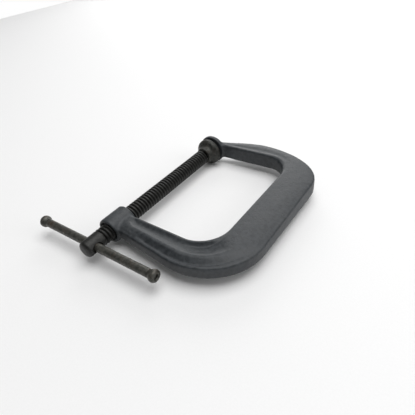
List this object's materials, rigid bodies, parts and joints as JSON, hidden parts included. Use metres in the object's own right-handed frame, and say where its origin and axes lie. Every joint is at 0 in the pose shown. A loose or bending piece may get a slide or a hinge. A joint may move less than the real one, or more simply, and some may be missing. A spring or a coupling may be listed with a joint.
{
  "type": "c clamp",
  "caption": "Forged steel C clamp: a C frame, a screw with a sliding cross handle, and a swivel pad that closes on a fixed anvil.",
  "frame": {"origin": "centre of the fixed anvil face, on the screw axis", "axes": "+Y along the screw from the handle to the anvil, +X from the screw to the spine, +Z square to the plane of the C and up as the clamp lies flat"},
  "size_m": [0.2409, 0.2617, 0.037],
  "materials": {
    "frame_paint": "blue-grey textured paint on a steel forging",
    "black_screw": "black oxide",
    "worn_steel": "dark mill finish, worn, with light rust",
    "pad_steel": "mottled dark grey forging",
    "spring_wire": "drawn wire"
  },
  "bodies": {
    "frame": {"frame": "frame_paint"},
    "screw_carriage": {"pad_retaining_ring": "spring_wire"},
    "spindle": {"spindle": "black_screw"},
    "handle": {"handle_bar": "worn_steel", "handle_end_cap_near": "worn_steel", "handle_end_cap_far": "worn_steel"},
    "pad": {"swivel_pad": "pad_steel"}
  },
  "joints": [
    {"name": "screw_feed", "type": "slide", "parent": "frame", "child": "screw_carriage", "axis": [0, 1, 0], "range_m": [-0.147, 0.0022]},
    {"name": "screw_turn", "type": "hinge", "parent": "screw_carriage", "child": "spindle", "pos_m": [0, -0.1, 0], "axis": [0, 1, 0], "range_deg": [-12490, 186]},
    {"name": "handle_slide", "type": "slide", "parent": "spindle", "child": "handle", "axis": [1, 0, 0], "range_m": [-0.0695, 0.063]},
    {"name": "pad_tilt", "type": "hinge", "parent": "screw_carriage", "child": "pad", "pos_m": [0, -0.0135, 0], "axis": [0, 0, 1], "range_deg": [-4, 4]}
  ],
  "couplings": [
    {"joint": "screw_feed", "follows": "screw_turn", "m_per_rad": 0.0006737}
  ]
}
